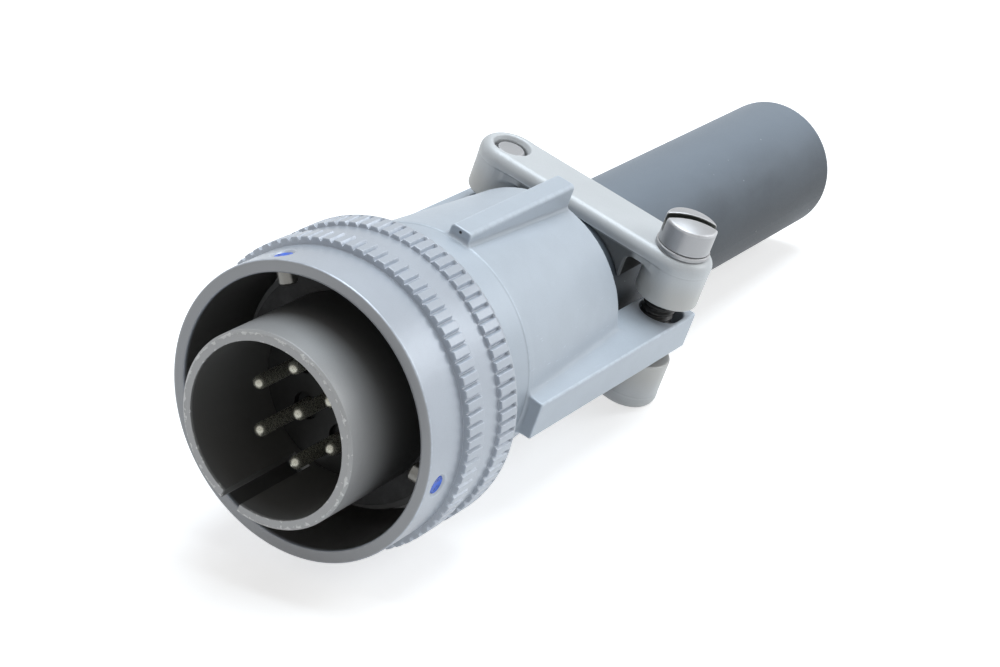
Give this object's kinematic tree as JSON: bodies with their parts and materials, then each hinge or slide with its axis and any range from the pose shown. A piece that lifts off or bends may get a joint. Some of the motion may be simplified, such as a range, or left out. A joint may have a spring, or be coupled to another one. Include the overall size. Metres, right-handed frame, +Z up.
{
  "type": "circular connector plug",
  "caption": "Round metal cable plug with a sprung bayonet coupling nut, pin contacts in a barrel, a ribbed endbell, a screwed saddle clamp and a rubber cable bushing.",
  "frame": {"origin": "centre of the plug barrel's front rim", "axes": "+Y runs from the mating end to the cable end, +Z is up, +X is to the right seen from the mating end; the connector axis itself slopes down 4.5 degrees towards the cable as the plug lies"},
  "size_m": [0.0395, 0.1171, 0.0362],
  "materials": {
    "satin_shell": "satin plated aluminium, worn bright at the rim",
    "black_insert": "moulded black insert",
    "plated_contact": "silver plated contact",
    "seal_rubber": "soft black seal",
    "spring_steel": "plated spring steel",
    "plain_steel": "smooth steel",
    "satin_nut": "satin plated aluminium",
    "plated_pin": "plated pin",
    "blue_paint": "blue index paint",
    "cast_endbell": "plated die casting with fine scratches",
    "cast_saddle": "plated die casting",
    "screw_steel": "plated steel screw",
    "bushing_rubber": "matt dusty rubber"
  },
  "bodies": {
    "plug_body": {"plug_shell": "satin_shell", "front_insulator": "black_insert", "rear_insulator": "black_insert", "wire_grommet": "seal_rubber", "grommet_follower": "satin_shell", "contact_pin_1": "plated_contact", "contact_pin_2": "plated_contact", "contact_pin_3": "plated_contact", "contact_pin_4": "plated_contact", "contact_pin_5": "plated_contact", "contact_pin_6": "plated_contact", "contact_pin_7": "plated_contact", "flange_gasket": "seal_rubber", "wave_spring": "spring_steel", "retaining_ring": "spring_steel", "endbell": "cast_endbell", "cable_bushing": "bushing_rubber"},
    "thrust_carrier": {"thrust_washer": "plain_steel"},
    "coupling_ring": {"coupling_nut": "satin_nut", "bayonet_pin_1": "plated_pin", "bayonet_pin_2": "plated_pin", "bayonet_pin_3": "plated_pin", "index_dot_1": "blue_paint", "index_dot_2": "blue_paint", "index_dot_3": "blue_paint"},
    "upper_saddle": {"clamp_saddle_top": "cast_saddle", "lock_washer_right": "spring_steel"},
    "lower_saddle": {"clamp_saddle_bottom": "cast_saddle", "lock_washer_left": "spring_steel"},
    "right_screw": {"clamp_screw_right": "screw_steel"},
    "left_screw": {"clamp_screw_left": "screw_steel"}
  },
  "joints": [
    {"name": "coupling_push", "type": "slide", "parent": "plug_body", "child": "thrust_carrier", "axis": [0, -0.9969, 0.0785], "range_m": [0, 0.001], "stiffness_N_per_m": 5000, "springref_m": -0.0001, "deforming": ["wave_spring"]},
    {"name": "coupling_turn", "type": "hinge", "parent": "thrust_carrier", "child": "coupling_ring", "pos_m": [0, 0.00583, -0.00046], "axis": [0, 0.9969, -0.0785], "continuous": true},
    {"name": "upper_saddle_lift", "type": "slide", "parent": "plug_body", "child": "upper_saddle", "axis": [0.3173, 0.0744, 0.9454], "range_m": [0, 0.00119]},
    {"name": "right_screw_turn", "type": "hinge", "parent": "upper_saddle", "child": "right_screw", "pos_m": [0.01204, 0.06015, -0.00878], "axis": [0.3173, 0.0744, 0.9454], "range_deg": [0, 1081]},
    {"name": "lower_saddle_drop", "type": "slide", "parent": "plug_body", "child": "lower_saddle", "axis": [-0.3173, -0.0744, -0.9454], "range_m": [0, 0.00119]},
    {"name": "left_screw_turn", "type": "hinge", "parent": "lower_saddle", "child": "left_screw", "pos_m": [-0.01204, 0.06078, -0.00074], "axis": [-0.3173, -0.0744, -0.9454], "range_deg": [0, 1081]}
  ],
  "couplings": [
    {"joint": "lower_saddle_drop", "follows": "upper_saddle_lift", "ratio": 1},
    {"joint": "right_screw_turn", "follows": "upper_saddle_lift", "rad_per_m": 15827},
    {"joint": "left_screw_turn", "follows": "upper_saddle_lift", "rad_per_m": 15827}
  ]
}
